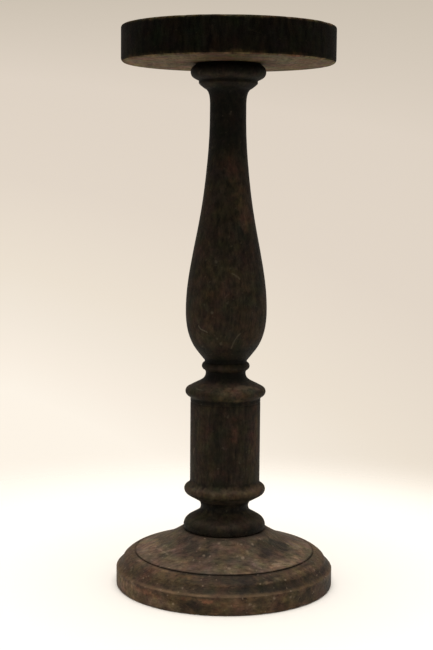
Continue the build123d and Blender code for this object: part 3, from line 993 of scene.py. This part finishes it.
def weathered(tree, texture, colours, strengths):
    """The colour of the wood under all its marks, and how much dust is on it."""
    stain = stained(tree, texture, colours, strengths)
    raw = maths(tree, "ADD", mark(tree, "raw"), times(tree, texture["smudge"], 0.25))
    stain = blended(tree, ranged(tree, raw, 0.3, 0.75), stain, unstained(tree, texture, colours))
    dark = uneven(tree, "dark", texture["smudge"], 0.0, 1.0, 0.6)
    stain = blended(tree, dark, stain, colours["dark"])
    wear = uneven(tree, "wear", texture["smudge"], 0.1, 0.9, 0.1)
    stain = blended(tree, times(tree, wear, strengths["wear"]), stain, colours["worn"])
    dust = dust_amount(tree, texture, dark)
    stain = blended(tree, times(tree, dust, strengths["dust"]), stain, colours["dust"])
    # Grime and painted shade.
    grime_and_shade = times(tree, mark(tree, "grime_and_shade"), strengths["grime_and_shade"])
    stain = blended(tree, grime_and_shade, stain, colours["grime_and_shade"])
    stain = blended(tree, strengths["drift"], stain, texture["hue"], "MULTIPLY")
    stain = blended(tree, strengths["mottle"], stain, texture["mottle"], "MULTIPLY")
    # Painted highlights in the colour of bare wood.
    stain = blended(tree, mark(tree, "light_tone"), stain, colours["light_tone"])
    speckle = ranged(tree, texture["speckle"], 0.7, 0.76, 0.0, strengths["speckle"])
    pale = maths(tree, "MAXIMUM", mark(tree, "pale"), speckle)
    return blended(tree, pale, stain, colours["pale"]), dust


def wood_relief(tree, texture):
    """The normal that the fibres, pores and grit give."""
    height = maths(tree, "ADD", texture["fibre"], times(tree, texture["pore"], -0.8))
    height = maths(tree, "ADD", height, times(tree, texture["grit"], 0.5))
    return add(tree, "Bump", {"Strength": 0.7, "Distance": RELIEF, "Height": height}).outputs["Normal"]


def wood(name, grain, pith, spacing, colours, strengths, blotch=None):
    """Old stained wood. The grain runs along the axis grain, and blotches along blotch if given."""
    material = bpy.data.materials.new(name)
    material.use_nodes = True
    tree = material.node_tree
    shader = tree.nodes["Principled BSDF"]
    texture = wood_textures(tree, grain, pith, spacing, blotch)
    colour, dust = weathered(tree, texture, colours, strengths)
    tree.links.new(colour, shader.inputs["Base Color"])
    rough = ranged(tree, dust, 0.0, 1.0, 0.56, 0.85)
    rough = maths(tree, "ADD", rough, times(tree, texture["grit"], 0.1))
    tree.links.new(rough, shader.inputs["Roughness"])
    shader.inputs["Specular IOR Level"].default_value = strengths["gloss"]
    tree.links.new(wood_relief(tree, texture), shader.inputs["Normal"])
    return material


# ---- stage, light and camera
def look(distance, height, pitch, turn, roll, lens):
    """The camera on the viewer's side, turned, tilted down and rolled, in degrees."""
    data = bpy.data.cameras.new("camera")
    data.lens = lens
    data.sensor_width = 36
    data.clip_end = 50
    camera = new_object("camera", data)
    camera.matrix_world = (
        Matrix.Translation((0, -distance, height))
        @ Matrix.Rotation(math.radians(turn), 4, "Z")
        @ Matrix.Rotation(math.radians(90 - pitch), 4, "X")
        @ Matrix.Rotation(math.radians(roll), 4, "Z")
    )
    bpy.context.scene.camera = camera


def soft_light(name, place, aim, size, power, colour):
    """A round lamp that the camera doesn't see."""
    data = bpy.data.lights.new(name, "AREA")
    data.shape = "DISK"
    data.size = size
    data.energy = power
    data.color = colour
    lamp = new_object(name, data)
    lamp.location = place
    lamp.rotation_mode = "QUATERNION"
    lamp.rotation_quaternion = (Vector(aim) - Vector(place)).to_track_quat("-Z", "Y")
    lamp.visible_camera = False


def make_floor():
    """A round sheet of pale paper under the object."""
    mesh = bpy.data.meshes.new("floor")
    shape = bmesh.new()
    bmesh.ops.create_circle(shape, cap_ends=True, radius=FLOOR_RADIUS, segments=96)
    shape.to_mesh(mesh)
    shape.free()
    floor = new_object("floor", mesh)
    mesh.materials.append(floor_paper())


def floor_paper():
    """White paper that fades out with distance and is clear from below."""
    material = bpy.data.materials.new("floor_paper")
    material.use_nodes = True
    tree = material.node_tree
    shader = tree.nodes["Principled BSDF"]
    shader.inputs["Base Color"].default_value = (*FLOOR_COLOUR, 1)
    shader.inputs["Roughness"].default_value = 0.95
    shader.inputs["Specular IOR Level"].default_value = 0.1
    place = add(tree, "TexCoord").outputs["Object"]
    far = add(tree, "VectorMath", {0: place}, operation="LENGTH")
    sockets = {"Value": far.outputs["Value"], "From Min": FADE_START, "From Max": FLOOR_RADIUS}
    fade = add(tree, "MapRange", sockets, interpolation_type="SMOOTHERSTEP")
    below = add(tree, "NewGeometry").outputs["Backfacing"]
    gone = maths(tree, "MAXIMUM", fade.outputs["Result"], below)
    clear = add(tree, "BsdfTransparent")
    mix = add(tree, "MixShader", {0: gone, 1: shader.outputs[0], 2: clear.outputs[0]})
    tree.links.new(mix.outputs[0], tree.nodes["Material Output"].inputs["Surface"])
    return material


def backdrop_colour(tree):
    """A colour that is lighter low down, and there lighter on the left."""
    split = add(tree, "SeparateXYZ", {0: add(tree, "TexCoord").outputs["Generated"]})
    rise = ranged(tree, split.outputs["Z"], BACKDROP_FROM, BACKDROP_TO)
    side = ranged(tree, split.outputs["X"], -BACKDROP_SIDE, BACKDROP_SIDE, -BACKDROP_LEAN, BACKDROP_LEAN)
    lean = times(tree, side, maths(tree, "SUBTRACT", 1.0, rise))
    ramp = add(tree, "ValToRGB", {"Fac": maths(tree, "ADD", rise, lean)})
    stops = ramp.color_ramp
    for _ in range(len(BACKDROP) - 2):
        stops.elements.new(0.5)
    for stop, (position, colour) in zip(stops.elements, BACKDROP):
        stop.position = position
        stop.color = (*colour, 1)
    return ramp.outputs["Color"]


def make_world():
    """A pale warm backdrop, and a dimmer even light for the object."""
    world = bpy.data.worlds.new("studio")
    bpy.context.scene.world = world
    world.use_nodes = True
    tree = world.node_tree
    tree.nodes.clear()
    seen = add(tree, "Background", {"Color": backdrop_colour(tree), "Strength": 1.0})
    lit = add(tree, "Background", {"Color": (*AMBIENT_COLOUR, 1), "Strength": AMBIENT})
    direct = add(tree, "LightPath").outputs["Is Camera Ray"]
    mix = add(tree, "MixShader", {0: direct, 1: lit.outputs[0], 2: seen.outputs[0]})
    add(tree, "OutputWorld", {"Surface": mix.outputs[0]})


# ---- the scene
make_column(wood("column_wood", "Z", (0.05, 0.03, 0), 2.6 * MM, COLUMN_COLOURS, COLUMN_STRENGTHS))
make_plate(wood("plate_wood", "Y", (-0.35, 0, 0.42), 2.4 * MM, PLATE_COLOURS, PLATE_STRENGTHS, "Z"))
make_dome(wood("dome_wood", "X", (0, 0.06, -0.16), 3.2 * MM, DOME_COLOURS, BASE_STRENGTHS))
dress_wedges(wood("wedge_wood", "Z", (0, 0.02, 0), 1.6 * MM, WEDGE_COLOURS, WEDGE_STRENGTHS))
make_plinth(wood("plinth_wood", "X", (0, -0.05, -0.14), 2.9 * MM, PLINTH_COLOURS, BASE_STRENGTHS))

make_floor()
make_world()
soft_light("overhead", (0, -0.05, 1.9), (0, 0, 0.1), size=1.5, power=42, colour=(1, 0.97, 0.93))
look(distance=1.18982, height=0.37484, pitch=6.43, turn=0.423, roll=0.492, lens=72.52)
bpy.context.scene.view_settings.view_transform = "Standard"
